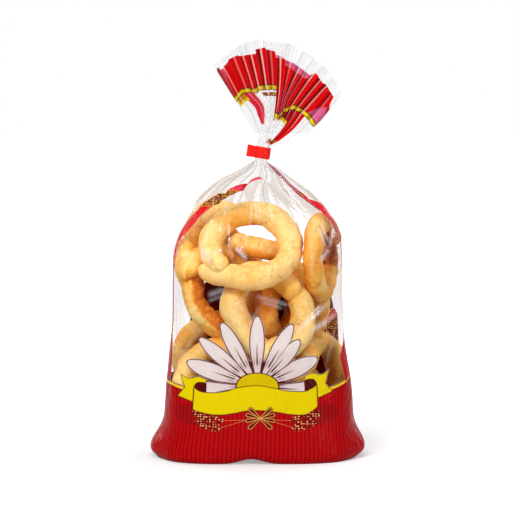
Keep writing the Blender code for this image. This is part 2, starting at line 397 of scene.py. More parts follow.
def even_angles(half_width, half_depth, squareness):
    """Angles round a section at even steps of its length, from the back by way of the left."""
    dense = np.linspace(-0.75 * TURN, 0.25 * TURN, 2401)
    x = half_width * signed_power(np.cos(dense), 2.0 / squareness)
    y = half_depth * signed_power(np.sin(dense), 2.0 / squareness)
    length = np.concatenate(([0.0], np.cumsum(np.hypot(np.diff(x), np.diff(y)))))
    wanted = np.arange(COLUMNS) / COLUMNS * length[-1]
    return np.interp(wanted, length, dense), length[-1]


def ear(height, cosine):
    """How far an ear of the folded bottom carries the side outwards."""
    if height < EAR_HEIGHT:
        rise = smooth_step(height, -12.0, EAR_HEIGHT)
    else:
        rise = (1.0 - smooth_step(height, EAR_HEIGHT, EAR_TOP)) ** 1.5
    return EAR_REACH * rise * signed_power(cosine, EAR_NARROWNESS)


def pouch_row(height):
    """The film's points round the pouch at one height, and the length round that section."""
    left, right, half_depth, squareness = station(height)
    middle, half_width = 0.5 * (left + right), 0.5 * (right - left)
    angle, length = even_angles(half_width, half_depth, squareness)
    cosine, sine = np.cos(angle), np.sin(angle)
    x = middle + half_width * signed_power(cosine, 2.0 / squareness) + ear(height, cosine)
    y = half_depth * signed_power(sine, 2.0 / squareness)
    lean = NECK_LEAN * smooth_step(height, LEAN_START, NECK_BOTTOM)
    lift = LIFT * np.abs(sine) ** 3 * np.exp(-(((x - LIFT_X) / LIFT_SPREAD) ** 2))
    lift *= 1.0 - smooth_step(height, 0.0, LIFT_TOP)
    z = height + lift - (x - middle) * math.tan(lean)
    return np.stack((x, y, z), axis=1), length


def neck_row(height):
    """The film's points round the neck, on an oval that leans with the neck."""
    angle = np.arange(COLUMNS) / COLUMNS * TURN - 0.75 * TURN
    across = NECK_HALF_WIDTH * np.cos(angle)
    along = height - TIE_MIDDLE
    x = NECK_X + across * math.cos(NECK_LEAN) + along * math.sin(NECK_LEAN)
    z = TIE_MIDDLE + along * math.cos(NECK_LEAN) - across * math.sin(NECK_LEAN)
    return np.stack((x, NECK_HALF_DEPTH * np.sin(angle), z), axis=1)


def fan_places():
    """For each column: its side (-1 front, 1 back) and its place across the ruffle."""
    share = np.arange(COLUMNS) / COLUMNS
    side = np.where((share > 0.25) & (share < 0.75), -1.0, 1.0)
    across = np.where(share < 0.25, 0.5 + 2.0 * share, 1.5 - 2.0 * share)
    across = np.where(share > 0.75, 2.0 * share - 1.5, across)
    return side, across


def fan_length(across):
    """How far the rim is from the ruffle's centre at this place across it."""
    direction = FAN_FROM + across * (FAN_TO - FAN_FROM)
    end = np.where(direction < FAN_LONGEST_AT, FAN_FROM, FAN_TO)
    share = (direction - FAN_LONGEST_AT) / (end - FAN_LONGEST_AT)
    return FAN_MIDDLE_LENGTH + (FAN_SIDE_LENGTH - FAN_MIDDLE_LENGTH) * np.abs(share) ** 1.6


def uneven_marks(count, seed):
    """Places of folds at uneven steps from 0 to 1, and how strong each one is."""
    rng = np.random.default_rng(seed)
    marks = np.arange(count + 1) / count
    marks[1:-1] += rng.uniform(-0.28, 0.28, count - 1) / count
    return marks, rng.uniform(0.65, 1.2, count + 1)


def knife_pleats(place, marks, strengths):
    """Pleats with a ridge at each mark: their height, how far they lean, and their number."""
    phase = np.interp(place, marks, np.arange(len(marks)))
    strength = np.interp(place, marks, strengths)
    wave = np.cos(TURN * phase)
    crisp = np.copysign(np.abs(wave) ** 0.8, wave) * strength
    return crisp, np.sin(TURN * phase) * strength, phase


def fan_row(reach, pleats):
    """The film's points round the ruffle at one share of its length."""
    side, across = fan_places()
    fold, over, rim = pleats
    start = FAN_FROM - FAN_SAG * (1.0 - reach) ** 1.4
    width = FAN_TO - start
    right, left = FAN_SKEW
    skew = right * smooth_step(across, 0.0, 0.14) * (1.0 - smooth_step(across, 0.30, 0.56))
    skew *= min(1.0 - reach, 0.5)
    low = 1.0 - smooth_step(reach, 0.36, 0.58)
    skew += left * smooth_step(across, 0.55, 0.80) * (1.0 - smooth_step(across, 0.88, 1.0)) * low
    direction = start + (across + skew) * width
    radius = reach * fan_length(across) + rim * reach**2
    closing = np.sqrt(np.maximum(1.0 - (2.0 * across - 1.0) ** 4, 0.0))
    depth = FAN_ROOT_HALF_DEPTH + reach * (FAN_RIM_HALF_DEPTH - FAN_ROOT_HALF_DEPTH)
    amplitude = 3.0 * reach**0.7 * (0.35 + 0.65 * closing)
    direction = direction + FAN_LEAN * width * over * closing
    x = FAN_X + radius * np.cos(direction)
    z = FAN_Z + radius * np.sin(direction)
    y = side * (closing * depth * (0.55 + 0.45 * reach) + amplitude * fold * side)
    return np.stack((x, y, z), axis=1)


def fan_pleats():
    """The ruffle's folds: their form, their number, and how brightly each edge gleams."""
    side, across = fan_places()
    marks, gleams = np.array(FAN_FOLDS).T
    front_strengths = np.random.default_rng(5).uniform(0.7, 1.2, len(marks))
    back_marks, back_strengths = uneven_marks(BACK_PLEATS, 11)
    ahead = knife_pleats(across, marks, front_strengths)
    behind = knife_pleats(across, back_marks, back_strengths)
    front = side < 0.0
    fold, over = (np.where(front, ahead[k], behind[k]) for k in (0, 1))
    number = np.where(front, ahead[2], len(marks) - 1 + BACK_PLEATS - behind[2])
    back_gleams = np.concatenate(([0.0], back_strengths[1:-1] - 0.5, [0.0]))
    gleam = np.where(front, np.interp(across, marks, gleams), np.interp(across, back_marks, back_gleams))
    steps = np.random.default_rng(3).uniform(-1.2, 1.0, 100)
    rim = np.interp(number, np.arange(100), steps)
    return (fold, over, rim), number, gleam


# Node trees.


class Value:
    """A number in a node tree. Each sign of arithmetic on it adds a node."""

    def __init__(self, tree, socket):
        self.tree, self.socket = tree, socket

    def __add__(self, other):
        return self.tree.math("ADD", self, other)

    def __sub__(self, other):
        return self.tree.math("SUBTRACT", self, other)

    def __rsub__(self, other):
        return self.tree.math("SUBTRACT", other, self)

    def __mul__(self, other):
        return self.tree.math("MULTIPLY", self, other)

    def __truediv__(self, other):
        return self.tree.math("DIVIDE", self, other)

    def __pow__(self, power):
        return self.tree.math("POWER", self, power)

    def __neg__(self):
        return self.tree.math("MULTIPLY", self, -1.0)

    def __abs__(self):
        return self.tree.math("ABSOLUTE", self)


class Tree:
    """A node tree under construction, with short ways to add and join its nodes."""

    def __init__(self, tree):
        self.tree = tree

    def add(self, kind, inputs=(), **settings):
        """A new node with its settings made, and its inputs set or joined."""
        node = self.tree.nodes.new(kind)
        for name, value in settings.items():
            setattr(node, name, value)
        self.set(node, inputs)
        return node

    def set(self, node, inputs):
        for socket, value in dict(inputs).items():
            self.feed(node.inputs[socket], value)

    def get(self, kind, output=0, inputs=(), **settings):
        """One output of a new node."""
        return Value(self, self.add(kind, inputs, **settings).outputs[output])

    def feed(self, socket, value):
        if isinstance(value, Value):
            value = value.socket
        if isinstance(value, bpy.types.NodeSocket):
            self.tree.links.new(value, socket)
        else:
            socket.default_value = value

    def math(self, operation, *values, clamp=False):
        inputs = dict(enumerate(values))
        return self.get("ShaderNodeMath", 0, inputs, operation=operation, use_clamp=clamp)

    def least(self, first, *others):
        for other in others:
            first = self.math("MINIMUM", first, other)
        return first

    def most(self, first, *others):
        for other in others:
            first = self.math("MAXIMUM", first, other)
        return first

    def vector(self, operation, *values, output="Vector"):
        inputs = dict(enumerate(values))
        return self.get("ShaderNodeVectorMath", output, inputs, operation=operation)

    def join(self, x=0.0, y=0.0, z=0.0):
        """A vector from three numbers."""
        return self.get("ShaderNodeCombineXYZ", 0, {"X": x, "Y": y, "Z": z})

    def split(self, vector):
        """The three numbers of a vector."""
        node = self.add("ShaderNodeSeparateXYZ", {"Vector": vector})
        return [Value(self, socket) for socket in node.outputs]

    def attribute(self, name, output="Fac"):
        return self.get("ShaderNodeAttribute", output, attribute_name=name)

    def mark(self, geometry, name, value):
        """The geometry with a number kept at each of its points."""
        inputs = {"Geometry": geometry, "Name": name, "Value": value}
        settings = {"data_type": "FLOAT", "domain": "POINT"}
        return self.get("GeometryNodeStoreNamedAttribute", 0, inputs, **settings)

    def ramp(self, value, start, end, low=0.0, high=1.0, smooth=False):
        """Low up to start, high from end on."""
        inputs = {"Value": value, "From Min": start, "From Max": end, "To Min": low, "To Max": high}
        kind = "SMOOTHSTEP" if smooth else "LINEAR"
        return self.get("ShaderNodeMapRange", "Result", inputs, interpolation_type=kind)

    def noise(self, vector, scale, detail=2.0, roughness=0.5, seed=None, distortion=0.0):
        inputs = {"Vector": vector, "Scale": scale, "Detail": detail, "Roughness": roughness}
        inputs["Distortion"] = distortion
        settings = {}
        if seed is not None:
            inputs["W"] = seed
            settings["noise_dimensions"] = "4D"
        return self.get("ShaderNodeTexNoise", 0, inputs, **settings)

    def blend(self, share, first, second):
        """A colour between two. Each is joined, as seen (0 to 255), or four linear numbers."""
        first, second = (
            linear(colour) if isinstance(colour, tuple) and len(colour) == 3 else colour
            for colour in (first, second)
        )
        return self.get("ShaderNodeMix", 2, {0: share, 6: first, 7: second}, data_type="RGBA")

    def curve(self, value, points, straight=False):
        """A line through the points, which lie between 0 and 1, smooth unless told otherwise."""
        node = self.add("ShaderNodeFloatCurve", {"Value": value})
        line = node.mapping.curves[0]
        line.points[0].location = points[0]
        line.points[1].location = points[-1]
        for point in points[1:-1]:
            line.points.new(*point)
        if straight:
            for point in line.points:
                point.handle_type = "VECTOR"
        node.mapping.update()
        return Value(self, node.outputs[0])


def new_group(name, kind, inputs, outputs):
    """A node group: its tree, the values of its inputs and its output node.

    Inputs are numbers with what they are when nothing is joined, or vectors where that is None.
    """
    group = bpy.data.node_groups.new(name, kind)
    for socket, value in inputs.items():
        socket_type = "NodeSocketVector" if value is None else "NodeSocketFloat"
        made = group.interface.new_socket(socket, in_out="INPUT", socket_type=socket_type)
        if value is not None:
            made.default_value = value
    for socket, socket_type in outputs.items():
        group.interface.new_socket(socket, in_out="OUTPUT", socket_type=socket_type)
    tree = Tree(group)
    entry = tree.add("NodeGroupInput")
    leave = tree.add("NodeGroupOutput")
    return tree, [Value(tree, entry.outputs[socket]) for socket in inputs], leave


# The ring biscuits.


def ring_tree(crust):
    """A rope of dough bent into a ring, with its ends laid over each other at the joint."""
    tree, values, leave = new_group(
        "ring biscuit", "GeometryNodeTree", RING_SOCKETS, {"Geometry": "NodeSocketGeometry"}
    )
    big, strand, overlap, top_end, first_aside, last_aside, oval, tear, tear_turn, seed = values

    # The line that the rope follows: it wanders a little, and rises over itself at the joint.
    along = tree.get("GeometryNodeSplineParameter", "Factor")
    angle = along * (overlap + TURN)
    first_end = tree.ramp(along, 0.0, 0.13, 1.0, 0.0, smooth=True)
    last_end = tree.ramp(along, 0.87, 1.0, smooth=True)
    cosine, sine = tree.math("COSINE", angle), tree.math("SINE", angle)
    round_place = tree.join(cosine, sine)
    drift = tree.noise(round_place, 1.1, seed=seed) - 0.5
    sway = tree.noise(round_place, 1.3, seed=seed + 7.3) - 0.5
    radius = big + first_end * first_aside + last_end * last_aside + drift * 7.0
    height = strand * top_end * (first_end * 0.60 - last_end * 0.52) + sway * 5.0
    place = tree.join(radius * cosine, radius * oval * sine, height)
    line = tree.get("GeometryNodeCurvePrimitiveLine")
    rope = tree.get("GeometryNodeResampleCurve", 0, {"Curve": line, "Count": RING_STEPS})
    bent = tree.get("GeometryNodeSetPosition", 0, {"Geometry": rope, "Position": place})

    # How thick the rope is along that line.
    near_end = tree.least(along, 1.0 - along)
    tip = 1.0 - tree.ramp(near_end, 0.0, 0.035)
    rounding = tree.math("SQRT", tree.most(1.0 - tip * tip, 0.004))
    pressed = tree.ramp(near_end, 0.03, 0.16, 0.88, 1.0, smooth=True)
    swell = tree.ramp(tree.noise(round_place, 1.7, seed=seed + 3.1), 0.3, 0.7, 0.93, 1.08)
    thickness = strand * rounding * pressed * swell
    marked = tree.mark(bent, "along", angle * big)
    circle = {"Resolution": STRAND_STEPS, "Radius": 1.0}
    profile = tree.get("GeometryNodeCurvePrimitiveCircle", "Curve", circle)
    sweep = {"Curve": marked, "Profile Curve": profile, "Scale": thickness, "Fill Caps": True}
    body = tree.get("GeometryNodeCurveToMesh", 0, sweep)

    # The skin: lumps, a torn stretch that faces the hole, and a flatter underside.
    position = tree.get("GeometryNodeInputPosition")
    normal = tree.get("GeometryNodeInputNormal")
    x, y, _ = tree.split(position)
    outward = tree.vector("NORMALIZE", tree.join(x, y))
    inner = -tree.vector("DOT_PRODUCT", normal, outward, output="Value")
    up = tree.split(normal)[2]
    lumps = tree.noise(position, 0.075, 2.0, 0.5, seed) - 0.5
    grain = tree.noise(position, 0.28, 3.0, 0.55, seed) - 0.5
    ragged = tree.noise(position, 0.42, 4.0, 0.65, seed, 0.6)
    tear_way = tree.join(tree.math("COSINE", tear_turn), tree.math("SINE", tear_turn))
    toward_tear = tree.vector("DOT_PRODUCT", outward, tear_way, output="Value")
    torn = tear * tree.ramp(inner * 0.78 + up * 0.62, 0.02, 0.26, smooth=True)
    torn = torn * tree.ramp(toward_tear, 0.58, 0.80, smooth=True)
    push = lumps * 3.2 + grain * 0.9 + torn * (ragged * 6.5 - 4.9)
    under = tree.ramp(up, -0.9, 0.1, 1.0, 0.0, smooth=True)
    flatten = tree.join(z=under * strand * 0.12)
    pushed = tree.vector("MULTIPLY", normal, tree.join(push, push, push))
    offset = tree.vector("ADD", pushed, flatten)
    shaped = tree.get("GeometryNodeSetPosition", 0, {"Geometry": body, "Offset": offset})
    # Painted shade darkens the side facing the hole; the underside is darker by browning and painted
    # shade.
    browning_and_shade = tree.ramp(inner, 0.15, 1.0, 0.0, 0.42) + under * 0.50
    bake_and_shade = browning_and_shade + torn * tree.ramp(ragged, 0.35, 0.60, 1.7, 0.75)
    stored = tree.mark(shaped, "bake_and_shade", bake_and_shade)
    smooth = tree.get("GeometryNodeSetShadeSmooth", 0, {"Geometry": stored})
    real = tree.get("GeometryNodeRealizeInstances", 0, {"Geometry": smooth})
    coated = tree.get("GeometryNodeSetMaterial", 0, {"Geometry": real, "Material": crust})
    tree.feed(leave.inputs[0], coated)
    return tree.tree


def ring_turn(values):
    """How a ring is turned, from its pitch, yaw and spin."""
    pitch, yaw, spin = (math.radians(value) for value in values[3:6])
    turn = Matrix.Rotation(yaw, 3, "Z") @ Matrix.Rotation(pitch, 3, "X")
    return np.array(turn @ Matrix.Rotation(spin, 3, "Z"))


def settle_rings():
    """Pushes the rings apart and off the film, and returns the place and turn of each one."""
    values = np.array(list(RINGS.values()))
    centres = values[:, :3].copy()
    turns = [Matrix(ring_turn(row).tolist()).to_quaternion() for row in values]
    first_turns = [turn.copy() for turn in turns]
    big, strand, firm = values[:, 6], values[:, 7], values[:, 9]
    count = len(values)
    angle = np.arange(BEADS) / BEADS * TURN
    circle = np.stack((np.cos(angle), np.sin(angle), np.zeros(BEADS)), axis=1)
    beads = circle[None] * big[:, None, None]
    size = np.repeat(strand, BEADS)
    owner = np.repeat(np.arange(count), BEADS)
    whole = np.array([name not in BROKEN for name in RINGS])[owner]
    apart = (owner[:, None] != owner[None, :]) & whole[:, None] & whole[None, :]
    reach = (size[:, None] + size[None, :]) * 0.97
    free = np.where(firm < 1.0, 1.04 - firm, 0.0)[:, None]
    sections = np.array([station(height) for height in range(0, 225)])
    for step in range(SETTLE_STEPS):
        matrices = np.array([turn.to_matrix() for turn in turns])
        points = centres[:, None] + np.einsum("nij,nbj->nbi", matrices, beads)
        flat = points.reshape(-1, 3)
        away = flat[:, None] - flat[None]
        distance = np.linalg.norm(away, axis=2) + 1e-6
        overlap = np.where(apart, np.maximum(reach - distance, 0.0), 0.0)
        push = (away / distance[..., None] * overlap[..., None]).sum(axis=1)
        level = np.clip(flat[:, 2].astype(int), 0, 224)
        left, right, depth, square = sections[level].T
        half_width = np.maximum(0.5 * (right - left) - size - 1.0, 2.0)
        half_depth = np.maximum(depth - size - 1.0, 2.0)
        x, y = flat[:, 0] - 0.5 * (left + right), flat[:, 1]
        over = (np.abs(x) / half_width) ** square + (np.abs(y) / half_depth) ** square
        out = np.maximum(1.0 - np.maximum(over, 1.0) ** (-1.0 / square), 0.0) * 1.6
        push[:, 0] -= x * out
        push[:, 1] -= y * out
        push[:, 2] -= np.where(flat[:, 2] > 160.0, 14.0, 0.0) * out
        push[:, 2] += np.maximum(size + 0.8 - flat[:, 2], 0.0) * 1.6
        push = push.reshape(count, BEADS, 3)
        arm = points - centres[:, None]
        spin = np.cross(arm, push).sum(axis=1) / (BEADS * (big**2)[:, None])
        centres += push.sum(axis=1) / BEADS * 2.2 * free
        centres += (values[:, :3] - centres) * 0.02 * firm[:, None] * (1.0 - step / SETTLE_STEPS)
        for index in range(count):
            amount = Vector(spin[index] * 2.0 * free[index])
            if amount.length > 1e-7:
                turned = Quaternion(amount.normalized(), min(amount.length, 0.05))
                turns[index] = turned @ turns[index]
            turns[index] = turns[index].slerp(first_turns[index], 0.01 * firm[index])
    return {name: (centres[i], turns[i]) for i, name in enumerate(RINGS)}


def make_rings(crust):
    """Every ring biscuit as a plain mesh in its place."""
    tree = ring_tree(crust)
    sockets = {item.name: item.identifier for item in tree.interface.items_tree}
    places = settle_rings()
    rings = []
    for index, (name, values) in enumerate(RINGS.items()):
        holder = new_object(name + "_holder", bpy.data.meshes.new(name + "_holder"))
        modifier = holder.modifiers.new("ring biscuit", "NODES")
        modifier.node_group = tree
        settings = dict(zip(JOINT_SOCKETS, JOINTS.get(name, PLAIN_JOINT)))
        settings["Ring Radius"], settings["Strand Radius"] = values[6:8]
        settings["Tear"] = 1.0 if name in TORN else 0.0
        settings["Tear Turn"] = math.radians(TORN.get(name, 0.0))
        settings["Seed"] = 3.0 + 5.7 * index
        for socket, value in settings.items():
            modifier[sockets[socket]] = value
        graph = bpy.context.evaluated_depsgraph_get()
        mesh = bpy.data.meshes.new_from_object(holder.evaluated_get(graph))
        mesh.name = name
        centre, turn = places[name]
        move = turn.to_matrix().to_4x4()
        move.translation = centre
        mesh.transform(Matrix.Scale(MM, 4) @ move)
        tone = mesh.attributes.new("tone", "FLOAT", "POINT")
        tone.data.foreach_set("value", [values[8]] * len(mesh.vertices))
        bpy.data.objects.remove(holder, do_unlink=True)
        rings.append(new_object(name, mesh))
    return rings


# The film.


def film_form():
    """The film before it is drawn in: its rows of points, and each row's map height and girth."""
    outline, _ = pouch_row(0.0)
    rows, levels, lengths = [], [], []
    for step in range(1, BASE_STEPS):
        rows.append(outline * (step / BASE_STEPS, step / BASE_STEPS, 1.0))
        levels.append(BASE_MAP_START * (1.0 - step / BASE_STEPS))
        lengths.append(GIRTH)
    for height in np.linspace(0.0, NECK_BOTTOM - 4.0, POUCH_STEPS):
        row, length = pouch_row(height)
        rows.append(row)
        levels.append(height)
        lengths.append(length)
    for height in np.linspace(NECK_BOTTOM, NECK_TOP, NECK_STEPS):
        rows.append(neck_row(height))
        levels.append(height)
        lengths.append(NECK_ROUND)
    return np.array(rows), np.array(levels), np.array(lengths)


def grid_normals(points):
    """Outward directions over a grid of points that is closed along its columns."""
    along = np.roll(points, -1, axis=1) - np.roll(points, 1, axis=1)
    up = np.gradient(points, axis=0)
    normal = np.cross(along, up)
    return normal / (np.linalg.norm(normal, axis=2, keepdims=True) + 1e-9)


def ring_surface(rings):
    """All rings as one surface to cast against, in millimetres."""
    points, faces = [], []
    for ring in rings:
        start = len(points)
        points += [vertex.co / MM for vertex in ring.data.vertices]
        faces += [[start + corner for corner in face.vertices] for face in ring.data.polygons]
    return BVHTree.FromPolygons(points, faces)


def contact_levels(points, normals, rings):
    """How far out the film has to stay at each point, to clear the rings behind it."""
    surface = ring_surface(rings)
    start, lowest = 22.0, -9.0
    levels = np.full(points.shape[:2], lowest)
    for row in range(points.shape[0]):
        for column in range(points.shape[1]):
            outward = Vector(normals[row, column])
            origin = Vector(points[row, column]) + outward * start
            distance = surface.ray_cast(origin, -outward, start - lowest)[3]
            if distance is not None:
                levels[row, column] = start - distance + FILM_GAP
    return levels


def drape(levels, free):
    """Draws the film in until it hangs on what is behind it."""
    offset = np.maximum(levels, free)
    for _ in range(DRAPE_STEPS):
        beside = np.roll(offset, 1, axis=1) + np.roll(offset, -1, axis=1)
        above = np.vstack((offset[1:], offset[-1:]))
        below = np.vstack((offset[:1], offset[:-1]))
        around = 0.25 * (beside + above + below)
        offset = np.maximum(levels, (1.0 - SLACK) * around + SLACK * free)
    return offset


def creases(shape, heights, seed):
    """Short straight creases all over the film: their relief, and how far each one gleams."""
    rng = np.random.default_rng(seed)
    total, gleam = np.zeros(shape), np.zeros(shape)
    flat = np.arange(shape[1]) / shape[1] * GIRTH
    for _ in range(120):
        place, height = rng.uniform(0.0, GIRTH), rng.uniform(-5.0, 235.0)
        slant = rng.normal(0.0, 0.55)
        length, width = rng.uniform(8.0, 34.0), rng.uniform(0.9, 2.0)
        rise = rng.uniform(0.25, 0.7) * rng.choice((-1.0, 1.0))
        across = (flat[None, :] - place + 0.5 * GIRTH) % GIRTH - 0.5 * GIRTH
        up = heights[:, None] - height
        along = across * math.sin(slant) + up * math.cos(slant)
        aside = (across * math.cos(slant) - up * math.sin(slant)) / width
        fade = np.clip(1.0 - (along / length) ** 2, 0.0, 1.0)
        total += rise * fade * np.exp(-np.abs(aside) ** 1.3) * (1.0 - 0.6 * np.tanh(aside))
        # Each crease also gets a painted highlight along it.
        gleam += rng.uniform(0.0, 0.3) * fade * np.exp(-((aside * width / 1.1) ** 2))
    return total, np.minimum(gleam, 0.3) * smooth_step(heights, 60.0, 90.0)[:, None]


def streak_gleam(points):
    """How far each point of the front film lies on the painted highlight of one of the listed folds."""
    gleam = np.zeros(points.shape[:2])
    place = points[..., (0, 2)]
    for x, z, end_x, end_z, half_width, strength in STREAKS:
        start = np.array((x, z))
        run = np.array((end_x - x, end_z - z))
        share = ((place - start) @ run) / (run @ run)
        nearest = start + np.clip(share, 0.0, 1.0)[..., None] * run
        gap = np.linalg.norm(place - nearest, axis=2)
        fade = 1.0 - smooth_step(np.abs(share - 0.5), 0.25, 0.55)
        gleam = np.maximum(gleam, strength * fade * np.exp(-((gap / half_width) ** 2)))
    return gleam * smooth_step(-points[..., 1], 8.0, 20.0)


def hang_walls(points, levels, lengths, rings):
    """Draws the walls in over the rings and pleats the shoulders. Returns how far they gleam."""
    normals = grid_normals(points)[WALLS]
    walls, height, length = points[WALLS], levels[WALLS], lengths[WALLS]
    contact = contact_levels(walls, normals, rings)
    free = np.full(contact.shape, FREE_LEVEL) * smooth_step(height, 4.0, 40.0)[:, None]
    free += soft_field(contact.shape, 22.0, 26.0, 8)
    free *= (1.0 - smooth_step(height, 196.0, 214.0))[:, None]
    offset = drape(contact, free)
    relief, gleam = creases(offset.shape, height, 21)
    offset += relief * smooth_step(height, 0.0, 9.0)[:, None]

    # The pleats deepen towards the neck, as far as the spare film and the room allow.
    place = np.arange(COLUMNS) / COLUMNS
    marks = np.linspace(0.0, 1.0, 41)
    fold, over, _ = knife_pleats(place, *uneven_marks(SHOULDER_PLEATS, 17))
    starts = np.random.default_rng(4).uniform(*PLEAT_FROM, len(marks))
    starts = np.interp(place, marks, starts)[None, :]
    spare = np.sqrt(np.maximum(GIRTH**2 - length**2, 0.0)) / (2.0 * SHOULDER_PLEATS)
    room = 0.42 * np.array([station(level)[2] for level in height])
    depth = np.minimum(1.3 * spare, room)[:, None]
    opened = smooth_step(height[:, None], starts, starts + 30.0)
    offset -= depth * opened * 0.5 * (1.0 - fold[None, :])
    offset = np.maximum(offset, contact)
    # A painted highlight along each pleat's ridge.
    ridge = np.clip(fold - 0.78, 0.0, 1.0) * 1.6
    gleam = np.maximum(gleam, 0.45 * opened * ridge[None, :])
    tangent = np.roll(walls, -1, axis=1) - np.roll(walls, 1, axis=1)
    tangent /= np.linalg.norm(tangent, axis=2, keepdims=True) + 1e-9
    spacing = (length / SHOULDER_PLEATS)[:, None]
    walls += normals * offset[..., None]
    walls += tangent * (0.16 * spacing * opened * over[None, :])[..., None]
    middle = points[NECK].mean(axis=1, keepdims=True)
    points[NECK] = middle + (points[NECK] - middle) * (0.93 + 0.07 * fold)[None, :, None]
    return np.maximum(gleam, streak_gleam(walls))


def flat_map(levels, reaches, rim_steps):
    """How far up the flat film each point lies. The ruffle is laid out by its printed band."""
    side, across = fan_places()
    rim = fan_length(across) + rim_steps
    start = FAN_ROOT * rim
    band_foot, band_top, band_rim = FAN_BAND
    low_place, high_place, feet, tops = np.array(FAN_PRINT).T
    back_top = np.interp(across, *np.array(BACK_BAND).T)
    bag = np.repeat(levels[:, None], COLUMNS, axis=1)
    root = [np.full(COLUMNS, NECK_TOP + step * 1.2) for step in range(1, ROOT_STEPS + 1)]
    fan = []
    for reach in reaches:
        radius = reach * rim
        share = np.clip((reach * FAN_MIDDLE_LENGTH - 30.0) / 40.0, 0.0, 1.0)
        places = low_place + (high_place - low_place) * share
        foot = np.where(side > 0.0, BACK_BAND_FOOT, np.interp(across, places, feet))
        top = np.where(side > 0.0, back_top, np.interp(across, places, tops))
        below = start + (band_foot - start) * (radius - start) / (foot - start)
        band = band_foot + (band_top - band_foot) * (radius - foot) / (top - foot)
        above = band_top + (band_rim - band_top) * (radius - top) / (rim - top)
        flat = np.where(radius < foot, below, np.where(radius < top, band, above))
        fan.append(FAN_MAP_START + flat)
    return np.concatenate((bag, root, fan))


def make_film(rings, finish):
    """The whole bag as one thin sheet, open at the ruffle's mouth."""
    points, levels, lengths = film_form()
    gleam = hang_walls(points, levels, lengths, rings)
    pleats, number, edge_gleam = fan_pleats()
    reaches = np.linspace(FAN_ROOT, 1.0, FAN_STEPS)
    fan = [fan_row(reach, pleats) for reach in reaches]
    root = []
    for step in range(1, ROOT_STEPS + 1):
        share = step / (ROOT_STEPS + 1)
        root.append(points[-1] * (1.0 - share) + fan[0] * share)
    points = np.concatenate((points, root, fan))
    points[..., 2] = np.maximum(points[..., 2], 0.0)
    shine = np.zeros(points.shape)
    shine[WALLS, :, 0] = gleam
    shine[-FAN_STEPS - ROOT_STEPS :, :, 1] = number
    shine[-FAN_STEPS:, :, 2] = edge_gleam * smooth_step(reaches, 0.2, 0.5)[:, None]
    film = grid_mesh("film", points, flat_map(levels, reaches, pleats[2]))
    marks = film.data.attributes.new("shine", "FLOAT_VECTOR", "POINT")
    marks.data.foreach_set("vector", np.concatenate((np.zeros(3), shine.ravel())))
    film.data.materials.append(finish)
    return film


def grid_mesh(name, points, film_map):
    """A mesh from rows of points, closed at its bottom, with the flat film as its map."""
    row_count = len(points)
    verts = [(0.0, 0.0, 0.0)] + (points.reshape(-1, 3) * MM).tolist()
    faces, places = [], []
    flat = (np.arange(COLUMNS + 1) / COLUMNS - 0.5) * GIRTH

    def corner(row, column):
        return 1 + row * COLUMNS + column % COLUMNS

    def spot(row, column):
        return (0.5 + flat[column] / MAP_SPAN, film_map[row, column % COLUMNS] / MAP_SPAN)

    for column in range(COLUMNS):
        faces.append((0, corner(0, column + 1), corner(0, column)))
        places += [(0.5, -0.05), spot(0, column + 1), spot(0, column)]
    for row in range(row_count - 1):
        for column in range(COLUMNS):
            quad = ((row, column), (row, column + 1), (row + 1, column + 1), (row + 1, column))
            faces.append([corner(*at) for at in quad])
            places += [spot(*at) for at in quad]
    mesh = bpy.data.meshes.new(name)
    mesh.from_pydata(verts, [], faces)
    layer = mesh.uv_layers.new(name="flat_film")
    layer.data.foreach_set("uv", np.array(places).ravel())
    mesh.shade_smooth()
    mesh.update()
    return new_object(name, mesh)


# The materials.


def new_material(name):
    made = bpy.data.materials.new(name)
    made.use_nodes = True
    tree = Tree(made.node_tree)
    shader = made.node_tree.nodes["Principled BSDF"]
    return made, tree, shader


